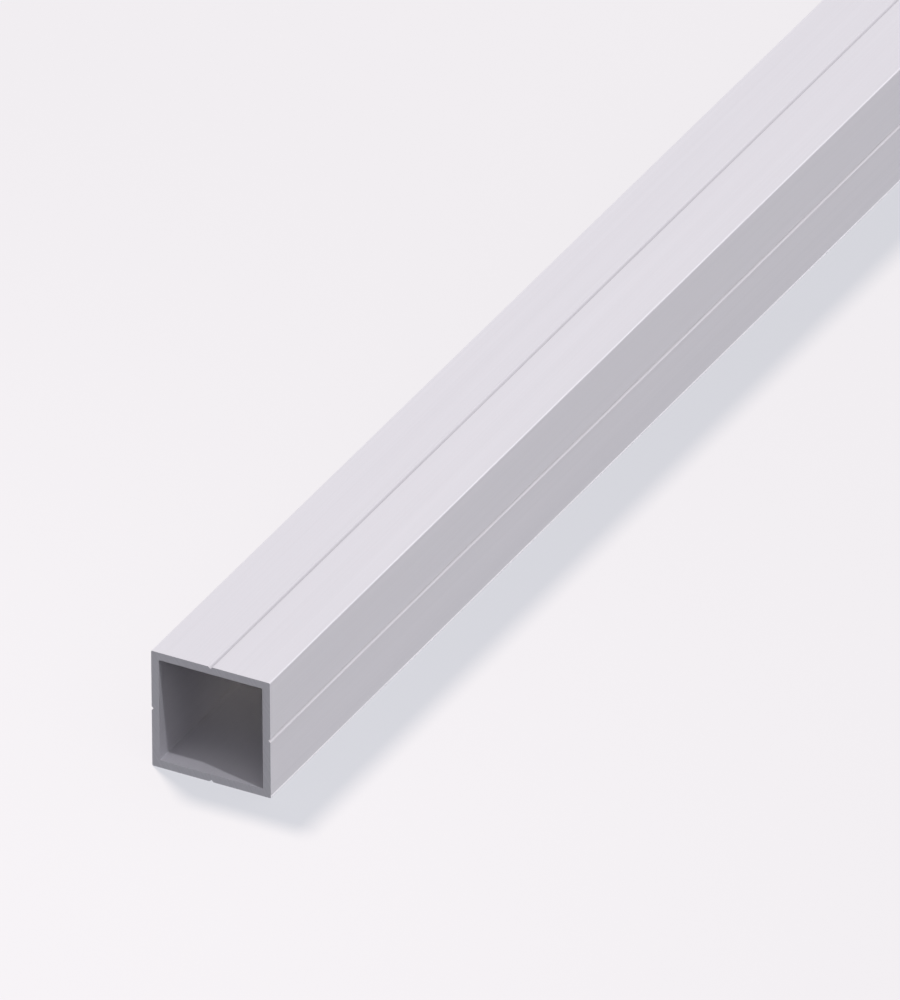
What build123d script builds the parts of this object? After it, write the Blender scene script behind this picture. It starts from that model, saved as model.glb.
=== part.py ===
"""Square aluminium tube, extruded stock with a marking groove down the middle of each face.

The tube lies along X on a level floor. The origin is the middle of its underside, and Z is up.
"""

from build123d import *

import os
from math import radians, sin, tan

# Driving dimensions, in millimetres and degrees
stock_length = 1000.0
side = 23.5
wall = 1.5
outer_corner_radius = 0.2
bore_corner_radius = 0.2
groove_width = 0.8
groove_angle = 90.0
groove_root_radius = 0.1

# Sizes that follow from them
bore = side - 2 * wall
groove_half_angle = radians(groove_angle / 2)
groove_depth = groove_width / 2 / tan(groove_half_angle)

# How far the cutting outline of a groove stands out of the face, so that it cuts clean through it
groove_overcut = groove_width / 2

# The plane of one sawn end, with its first direction along Y and the tube running along +X from it
sawn_end = Plane(origin=(-stock_length / 2, 0, side / 2), x_dir=(0, 1, 0), z_dir=(1, 0, 0))


def groove_outline():
    """The V that one groove takes out of a face, with the face at x = 0 and the metal on its minus side."""
    mouth = groove_overcut * tan(groove_half_angle) + groove_width / 2
    with BuildSketch() as outline:
        with BuildLine():
            Polyline(
                (-groove_depth, 0),
                (groove_overcut, mouth),
                (groove_overcut, -mouth),
                close=True,
            )
        make_face()
        fillet(outline.vertices().sort_by(Axis.X)[0], radius=groove_root_radius)
    return outline.sketch


groove = groove_outline()

# The section is one closed wall: a rounded square, less its bore, less a groove in each of its four faces
with BuildPart() as square_tube:
    with BuildSketch(sawn_end) as section:
        RectangleRounded(side, side, outer_corner_radius)
        RectangleRounded(bore, bore, bore_corner_radius, mode=Mode.SUBTRACT)
        with PolarLocations(side / 2, 4):
            add(groove, mode=Mode.SUBTRACT)
    extrude(amount=stock_length)

square_tube.part.label = "square_tube"

os.makedirs("parts", exist_ok=True)
export_step(square_tube.part, "parts/square_tube.step")

print("groove depth", round(groove_depth - groove_root_radius * (1 / sin(groove_half_angle) - 1), 3))
print("section area", round(section.sketch.area, 3), "volume", round(square_tube.part.volume, 1))
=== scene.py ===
"""A square aluminium tube lying on a pale studio floor, seen from above its near end.

The near end points to -X. In the picture the tube's right side is its -Y face.
"""

import math

import bpy
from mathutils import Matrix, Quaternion, Vector


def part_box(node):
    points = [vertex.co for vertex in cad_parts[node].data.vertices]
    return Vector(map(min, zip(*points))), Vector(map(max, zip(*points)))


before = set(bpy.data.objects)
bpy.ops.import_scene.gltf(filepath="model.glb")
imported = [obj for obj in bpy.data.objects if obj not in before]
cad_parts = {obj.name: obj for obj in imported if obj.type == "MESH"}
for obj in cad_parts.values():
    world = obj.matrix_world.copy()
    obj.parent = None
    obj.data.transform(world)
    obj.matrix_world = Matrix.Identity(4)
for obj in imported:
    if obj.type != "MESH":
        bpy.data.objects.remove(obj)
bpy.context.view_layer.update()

# Sizes of the tube, in metres
MILLIMETRE = 0.001
tube_low, tube_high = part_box("square_tube")
side = tube_high[2] - tube_low[2]
middle_height = (tube_high[2] + tube_low[2]) / 2
wall = 1.5 * MILLIMETRE
corner_radius = 0.2 * MILLIMETRE
groove_width = 0.8 * MILLIMETRE

# Colours, as linear red, green and blue
ANODISED = (0.667, 0.647, 0.692)
# Sawn ends: their own matt finish, painted darker as well for the shade they lie in
SAWN_WITH_PAINTED_SHADE = (0.381, 0.376, 0.416)
BORE_MOUTH = (0.410, 0.400, 0.445)
# Deep in the bore the colour is painted lighter, to lift the shade there
BORE_DEEP_PAINTED_LIGHT = (0.935, 0.912, 0.915)
FLOOR = (0.0918, 0.0878, 0.0905)
# The floor's colour in a painted pool of light by the tube's near end
FLOOR_LIGHT_POOL = (0.1080, 0.1048, 0.1090)
FLOOR_BOUNCE = (0.012, 0.0117, 0.012)
FLOOR_GLOW = (0.597, 0.604, 0.648)
BACKGROUND = (0.880, 0.855, 0.880)

# Tones, which multiply a colour: painted shade in the grooves, and painted highlights on the long corners
# and along the lower edges
GROOVE_SHADE_TONE = 0.91
GROOVE_ROOT_SHADE_TONE = 0.87
# Painted highlight on the long corners, and a stronger painted rim highlight low down
CORNER_HIGHLIGHT_TONE = 1.10
LOW_RIM_HIGHLIGHT_TONE = 1.62

# Where a groove's painted shade and the deeper painted shade in its root start to fade and end, as shares
# of its width from its middle line
GROOVE_SHADE_FADE = (0.40, 0.55)
GROOVE_ROOT_SHADE_FADE = (1 / 5, 1 / 3)

# How much each fine pattern lightens and darkens a colour
FINE_LINES_SHARE = 0.015
BROAD_LINES_SHARE = 0.010
CLOUD_SHARE = 0.005
GRAIN_SHARE = 0.015
SAW_MARKS_SHARE = 0.07

# Scales of the patterns, in repeats a metre: along the tube and across it, or the same all ways
FINE_LINES_SCALE = (12.0, 2600.0)
BROAD_LINES_SCALE = (3.0, 420.0)
CLOUD_SCALE = (14.0, 60.0)
GRAIN_SCALE = 5200.0
SAW_MARKS_SCALE = 3000.0

# A noise pattern keeps mostly between these two values
NOISE_LOW = 0.25
NOISE_HIGH = 0.75

# Roughness and metal look of each finish
SATIN_ROUGHNESS = (0.42, 0.52)
CORNER_ROUGHNESS = 0.38
BORE_ROUGHNESS = 0.55
SAWN_ROUGHNESS = 0.60
OUTSIDE_METALLIC = 0.25
BORE_METALLIC = 0.30
BUMP_STRENGTH = 0.25
BUMP_HEIGHT = 0.01 * MILLIMETRE

# How much of the drawn metal's roughness and bump comes from the grain, and the rest from the fine lines
GRAIN_IN_ROUGHNESS = 0.5
GRAIN_IN_BUMP = 0.4

# The saw turned about a point beside the tube and below it, so its marks are wide arcs
SAW_CENTRE = (0.0, 0.110, -0.060)

# A face belongs to a sawn end where its normal leans more than this along the tube
END_NORMAL = 0.7

# The bore's colour is painted lighter between these two depths, to lift the shade deep down the bore
BORE_LIGHT_STARTS = 8 * MILLIMETRE
BORE_LIGHT_ENDS = 32 * MILLIMETRE

# The floor reaches this far each way, and lies a hair below the tube
FLOOR_REACH = 15.0
FLOOR_GAP = 0.02 * MILLIMETRE

# The floor's painted pool of light: its middle, and the radii where it starts to fade and ends
LIGHT_POOL_MIDDLE = Vector((-0.620, 0.090, 0.000))
LIGHT_POOL_FADE_STARTS = 0.08
LIGHT_POOL_FADE_ENDS = 0.34

# Lamps: the direction that each comes from, its strength, its width in degrees and its colour
KEY_FROM = Vector((-0.120, -0.554, 0.824))
KEY_STRENGTH = 1.42
KEY_WIDTH = 1.5
KEY_COLOUR = (1.0, 1.0, 1.0)
FLOOR_LAMP_FROM = Vector((0.281, 0.407, 0.869))
FLOOR_LAMP_STRENGTH = 8.23
FLOOR_LAMP_WIDTH = 11.0
FLOOR_LAMP_COLOUR = (1.000, 0.892, 0.770)

# The sky's mean light, and how much brighter it is one way
SKY_LEVEL = 0.825
SKY_SLOPE = Vector((-0.450, -0.320, 0.000))

# The camera: a very long lens, because the picture has next to no perspective
CAMERA_LENS = 1400.0
CAMERA_SENSOR = 36.0
CAMERA_AIM = Vector((-0.41455, -0.00135, 0.01175))
CAMERA_DISTANCE = 6.8341
CAMERA_AZIMUTH = math.radians(-61.565)
CAMERA_ELEVATION = math.radians(31.392)
CAMERA_ROLL = math.radians(-0.378)
CAMERA_SEES = (0.1, 100.0)


class Nodes:
    """Short ways to add and join the nodes of one shader tree."""

    def __init__(self, tree):
        self.tree = tree
        tree.nodes.clear()

    def add(self, kind, inputs=None, **settings):
        """Adds a node, sets its settings, and sets or joins its inputs by name or number."""
        node = self.tree.nodes.new(kind)
        for name, value in settings.items():
            setattr(node, name, value)
        for key, value in (inputs or {}).items():
            self.feed(node.inputs[key], value)
        return node

    def feed(self, socket, value):
        """Joins a socket to another one, or sets it to a plain value."""
        if isinstance(value, bpy.types.NodeSocket):
            self.tree.links.new(value, socket)
        elif isinstance(value, tuple) and socket.type == "RGBA":
            socket.default_value = (*value, 1.0)
        else:
            socket.default_value = value

    def maths(self, operation, first, second=0.0, clamp=False):
        node = self.add("ShaderNodeMath", {0: first, 1: second}, operation=operation, use_clamp=clamp)
        return node.outputs[0]

    def vector(self, operation, first, second=(0.0, 0.0, 0.0)):
        """The node itself, because a length is at its output "Value" and a vector at its output 0."""
        return self.add("ShaderNodeVectorMath", {0: first, 1: second}, operation=operation)

    def product(self, first, *others):
        for other in others:
            first = self.maths("MULTIPLY", first, other)
        return first

    def ramp(self, value, low, high, from_value=0.0, to_value=1.0):
        """Goes smoothly from from_value to to_value as value goes from low to high."""
        inputs = {
            "Value": value,
            "From Min": low,
            "From Max": high,
            "To Min": from_value,
            "To Max": to_value,
        }
        return self.add("ShaderNodeMapRange", inputs, interpolation_type="SMOOTHSTEP").outputs[0]

    def grey(self, level):
        """A colour, or a vector, with the same level in all three parts."""
        return self.add("ShaderNodeCombineXYZ", {0: level, 1: level, 2: level}).outputs[0]

    def mix_colour(self, share, first, second, blend="MIX"):
        inputs = {0: share, 6: first, 7: second}
        return self.add("ShaderNodeMix", inputs, data_type="RGBA", blend_type=blend).outputs[2]

    def mix_value(self, share, first, second):
        return self.add("ShaderNodeMix", {0: share, 2: first, 3: second}).outputs[0]

    def noise(self, vector, scale=1.0, detail=2.0, roughness=0.5):
        inputs = {"Vector": vector, "Scale": scale, "Detail": detail, "Roughness": roughness}
        return self.add("ShaderNodeTexNoise", inputs).outputs["Fac"]

    def stretched(self, vector, scale):
        """The vector scaled by one factor along the tube and another across it."""
        along, across = scale
        return self.vector("MULTIPLY", vector, (along, across, across)).outputs[0]

    def tone(self, pattern, share):
        """Turns a noise pattern into a tone around 1."""
        return self.ramp(pattern, NOISE_LOW, NOISE_HIGH, 1.0 - share, 1.0 + share)


class Place:
    """Where a point of the tube is, as sockets that the parts of its material share."""

    def __init__(self, nodes):
        coordinates = nodes.add("ShaderNodeTexCoord")
        self.point = coordinates.outputs["Object"]
        along, across, self.height = nodes.add("ShaderNodeSeparateXYZ", {0: self.point}).outputs
        facing = nodes.add("ShaderNodeSeparateXYZ", {0: coordinates.outputs["Normal"]}).outputs
        across = nodes.maths("ABSOLUTE", across)
        upward = nodes.maths("ABSOLUTE", nodes.maths("SUBTRACT", self.height, middle_height))
        outward = nodes.maths("MAXIMUM", across, upward)

        # Distance from the middle line of a face, and depth into the tube from its nearer end
        self.from_middle = nodes.maths("MINIMUM", across, upward)
        self.depth = nodes.maths("SUBTRACT", tube_high[0], nodes.maths("ABSOLUTE", along))

        # Each of these is 1 on its own part of the tube, and 0 elsewhere
        self.on_end = nodes.maths("GREATER_THAN", nodes.maths("ABSOLUTE", facing[0]), END_NORMAL)
        within = nodes.maths("LESS_THAN", outward, side / 2 - wall / 2)
        self.in_bore = nodes.maths("SUBTRACT", within, self.on_end, clamp=True)
        corner_starts = side / 2 - 2 * corner_radius
        corner_full = side / 2 - corner_radius / 2
        self.on_corner = nodes.ramp(self.from_middle, corner_starts, corner_full)


class Patterns:
    """The fine marks on the metal, as noise between 0 and 1."""

    def __init__(self, nodes, place):
        # Lines that the die leaves along the tube
        fine = nodes.stretched(place.point, FINE_LINES_SCALE)
        broad = nodes.stretched(place.point, BROAD_LINES_SCALE)
        self.fine_lines = nodes.noise(fine, roughness=0.6)
        self.broad_lines = nodes.noise(broad, detail=3.0, roughness=0.55)
        # The fine grain that etching leaves before the tube is anodised
        self.grain = nodes.noise(place.point, GRAIN_SCALE, roughness=0.6)
        # Slow changes along the stock
        self.cloud = nodes.noise(nodes.stretched(place.point, CLOUD_SCALE))
        self.saw_marks = saw_marks(nodes, place)


def saw_marks(nodes, place):
    """Wide arcs across the sawn ends, about the middle of the saw."""
    from_saw = nodes.vector("SUBTRACT", place.point, SAW_CENTRE).outputs[0]
    flat = nodes.vector("MULTIPLY", from_saw, (0.0, 1.0, 1.0)).outputs[0]
    reach = nodes.vector("LENGTH", flat).outputs["Value"]
    rings = nodes.maths("MULTIPLY", reach, SAW_MARKS_SCALE)
    return nodes.noise(nodes.add("ShaderNodeCombineXYZ", {0: rings}).outputs[0])


def groove_painted_shade(nodes, place):
    """Painted shade: the grooves are a little darker than the faces, and darker still in their roots."""
    share = nodes.maths("DIVIDE", place.from_middle, groove_width)
    # Painted shade over the whole groove, and deeper painted shade in its root
    groove_shade = nodes.ramp(share, *GROOVE_SHADE_FADE, GROOVE_SHADE_TONE, 1.0)
    root_shade = nodes.ramp(share, *GROOVE_ROOT_SHADE_FADE, GROOVE_ROOT_SHADE_TONE, 1.0)
    return nodes.product(root_shade, groove_shade)


def painted_corner_highlights(nodes, place):
    """Painted highlights: the long corners a little lighter, and everything within about half a millimetre
    of the underside, underside included, much lighter, as a rim highlight along the two lower edges.
    """
    # Painted rim highlight on the lowest part of the tube
    rim_highlight_low = tube_low[2] + 2 * corner_radius
    rim_highlight_high = tube_low[2] + 3 * corner_radius
    rim_highlight = nodes.ramp(place.height, rim_highlight_low, rim_highlight_high, LOW_RIM_HIGHLIGHT_TONE, 1.0)
    return nodes.product(nodes.mix_value(place.on_corner, 1.0, CORNER_HIGHLIGHT_TONE), rim_highlight)


def surface_tone(nodes, place, patterns):
    """How light each point is beside its finish's own colour, around 1, with painted shade in the grooves
    and painted highlights on the corners and lower edges.
    """
    drawn = nodes.product(
        nodes.tone(patterns.fine_lines, FINE_LINES_SHARE),
        nodes.tone(patterns.broad_lines, BROAD_LINES_SHARE),
        nodes.tone(patterns.cloud, CLOUD_SHARE),
        nodes.tone(patterns.grain, GRAIN_SHARE),
    )
    # On the outside: painted shade in the grooves, painted highlights on the corners and lower edges
    outside = nodes.product(drawn, groove_painted_shade(nodes, place), painted_corner_highlights(nodes, place))
    drawn = nodes.mix_value(place.in_bore, outside, drawn)
    sawn = nodes.tone(patterns.saw_marks, SAW_MARKS_SHARE)
    return nodes.mix_value(place.on_end, drawn, sawn)


def surface_colour(nodes, place, patterns):
    """Anodised outside and at the bore's mouth, painted lighter deeper down the bore to lift its shade,
    and sawn ends whose darker colour is partly their own matt finish and partly painted shade.
    """
    # Painted light: the bore's colour grows lighter with depth, to lift its shade
    deep_light = nodes.ramp(place.depth, BORE_LIGHT_STARTS, BORE_LIGHT_ENDS)
    inside = nodes.mix_colour(deep_light, BORE_MOUTH, BORE_DEEP_PAINTED_LIGHT)
    colour = nodes.mix_colour(place.in_bore, ANODISED, inside)
    # The sawn ends' darker colour is partly painted shade
    colour = nodes.mix_colour(place.on_end, colour, SAWN_WITH_PAINTED_SHADE)
    tone = nodes.grey(surface_tone(nodes, place, patterns))
    return nodes.mix_colour(1.0, colour, tone, blend="MULTIPLY")


def surface_roughness(nodes, place, patterns):
    """Satin outside, smoother on the corners, and rougher in the bore and on the sawn ends."""
    satin = nodes.mix_value(GRAIN_IN_ROUGHNESS, patterns.fine_lines, patterns.grain)
    roughness = nodes.ramp(satin, NOISE_LOW, NOISE_HIGH, *SATIN_ROUGHNESS)
    roughness = nodes.mix_value(place.on_corner, roughness, CORNER_ROUGHNESS)
    roughness = nodes.mix_value(place.in_bore, roughness, BORE_ROUGHNESS)
    return nodes.mix_value(place.on_end, roughness, SAWN_ROUGHNESS)


def surface_bump(nodes, place, patterns):
    """Lines and grain on the drawn metal, and saw marks on the ends."""
    drawn = nodes.mix_value(GRAIN_IN_BUMP, patterns.fine_lines, patterns.grain)
    height = nodes.mix_value(place.on_end, drawn, patterns.saw_marks)
    inputs = {"Height": height, "Strength": BUMP_STRENGTH, "Distance": BUMP_HEIGHT}
    return nodes.add("ShaderNodeBump", inputs).outputs[0]


def aluminium():
    """Satin anodised outside, sawn ends whose darker colour is partly painted shade, and mill finish in
    the bore, painted lighter deep down to lift its shade.
    """
    material = bpy.data.materials.new("anodised_aluminium")
    material.use_nodes = True
    nodes = Nodes(material.node_tree)
    place = Place(nodes)
    patterns = Patterns(nodes, place)
    surface = nodes.add(
        "ShaderNodeBsdfPrincipled",
        {
            "Base Color": surface_colour(nodes, place, patterns),
            "Metallic": nodes.mix_value(place.in_bore, OUTSIDE_METALLIC, BORE_METALLIC),
            "Roughness": surface_roughness(nodes, place, patterns),
            "Normal": surface_bump(nodes, place, patterns),
        },
    )
    nodes.add("ShaderNodeOutputMaterial", {"Surface": surface.outputs[0]})
    return material


def seen_directly(nodes):
    """1 for what the camera sees, also in a mirror or through glass, and 0 for light between surfaces."""
    path = nodes.add("ShaderNodeLightPath").outputs
    seen = nodes.maths("MAXIMUM", path["Is Camera Ray"], path["Is Glossy Ray"])
    return nodes.maths("MAXIMUM", seen, path["Is Transmission Ray"])


def pale_floor():
    """Pale to the eye, with a soft painted pool of light by the tube's near end.

    It throws hardly any light back, so that the tube's sides keep one even tone.
    """
    material = bpy.data.materials.new("pale_floor")
    material.use_nodes = True
    nodes = Nodes(material.node_tree)
    point = nodes.add("ShaderNodeTexCoord").outputs["Object"]
    # A painted pool of light: the floor's colour is lighter near the tube's near end
    from_light_pool = nodes.vector("DISTANCE", point, LIGHT_POOL_MIDDLE).outputs["Value"]
    light_pool = nodes.ramp(from_light_pool, LIGHT_POOL_FADE_STARTS, LIGHT_POOL_FADE_ENDS, 1.0, 0.0)
    seen_colour = nodes.mix_colour(light_pool, FLOOR, FLOOR_LIGHT_POOL)
    in_picture = nodes.add("ShaderNodeLightPath").outputs["Is Camera Ray"]
    colour = nodes.mix_colour(in_picture, FLOOR_BOUNCE, seen_colour)
    surface = nodes.add("ShaderNodeBsdfDiffuse", {"Color": colour})
    glow = nodes.add("ShaderNodeEmission", {"Color": FLOOR_GLOW, "Strength": seen_directly(nodes)})
    both = nodes.add("ShaderNodeAddShader", {0: surface.outputs[0], 1: glow.outputs[0]})
    nodes.add("ShaderNodeOutputMaterial", {"Surface": both.outputs[0]})
    # The glow is for the eye only, so no light is sought from it
    material.cycles.emission_sampling = "NONE"
    return material


def floor():
    """A wide plain floor under the tube."""
    height = tube_low[2] - FLOOR_GAP
    quarters = ((-1, -1), (1, -1), (1, 1), (-1, 1))
    corners = [(x * FLOOR_REACH, y * FLOOR_REACH, height) for x, y in quarters]
    mesh = bpy.data.meshes.new("floor")
    mesh.from_pydata(corners, [], [(0, 1, 2, 3)])
    mesh.materials.append(pale_floor())
    piece = bpy.data.objects.new("floor", mesh)
    bpy.context.scene.collection.objects.link(piece)
    return piece


def sun(name, lights, comes_from, strength, width, colour):
    """A distant lamp that lights one piece only. Its width softens the shadow."""
    lamp = bpy.data.lights.new(name, "SUN")
    lamp.energy = strength
    lamp.angle = math.radians(width)
    lamp.color = colour
    piece = bpy.data.objects.new(name, lamp)
    piece.rotation_mode = "QUATERNION"
    piece.rotation_quaternion = comes_from.to_track_quat("Z", "Y")
    bpy.context.scene.collection.objects.link(piece)
    lit = bpy.data.collections.new(name + "_lights")
    lit.objects.link(lights)
    piece.light_linking.receiver_collection = lit


def sky():
    """Soft light from all round, brighter towards the near end and the right, on a plain background."""
    world = bpy.data.worlds.new("studio")
    world.use_nodes = True
    nodes = Nodes(world.node_tree)
    direction = nodes.add("ShaderNodeTexCoord").outputs["Generated"]
    slope = nodes.vector("DOT_PRODUCT", direction, SKY_SLOPE).outputs["Value"]
    level = nodes.maths("MAXIMUM", nodes.maths("ADD", slope, SKY_LEVEL), 0.0)
    colour = nodes.mix_colour(seen_directly(nodes), nodes.grey(level), BACKGROUND)
    background = nodes.add("ShaderNodeBackground", {"Color": colour})
    nodes.add("ShaderNodeOutputWorld", {"Surface": background.outputs[0]})
    # Light Path gives the right kind of ray only where the sky is met by chance, not where it is aimed at
    world.cycles.sampling_method = "NONE"
    bpy.context.scene.world = world


def camera():
    """Looks along the tube from above its near end."""
    data = bpy.data.cameras.new("camera")
    data.lens = CAMERA_LENS
    data.sensor_width = CAMERA_SENSOR
    data.clip_start, data.clip_end = CAMERA_SEES
    piece = bpy.data.objects.new("camera", data)
    level = math.cos(CAMERA_ELEVATION)
    back = Vector(
        (
            math.sin(CAMERA_AZIMUTH) * level,
            -math.cos(CAMERA_AZIMUTH) * level,
            math.sin(CAMERA_ELEVATION),
        )
    )
    piece.location = CAMERA_AIM + back * CAMERA_DISTANCE
    piece.rotation_mode = "QUATERNION"
    piece.rotation_quaternion = (-back).to_track_quat("-Z", "Y") @ Quaternion((0, 0, 1), CAMERA_ROLL)
    bpy.context.scene.collection.objects.link(piece)
    bpy.context.scene.camera = piece


tube = bpy.data.objects["square_tube"]
tube.material_slots[0].material = aluminium()

ground = floor()
sun("key", tube, KEY_FROM, KEY_STRENGTH, KEY_WIDTH, KEY_COLOUR)
sun("floor_lamp", ground, FLOOR_LAMP_FROM, FLOOR_LAMP_STRENGTH, FLOOR_LAMP_WIDTH, FLOOR_LAMP_COLOUR)
sky()
camera()

bpy.context.scene.view_settings.view_transform = "Standard"
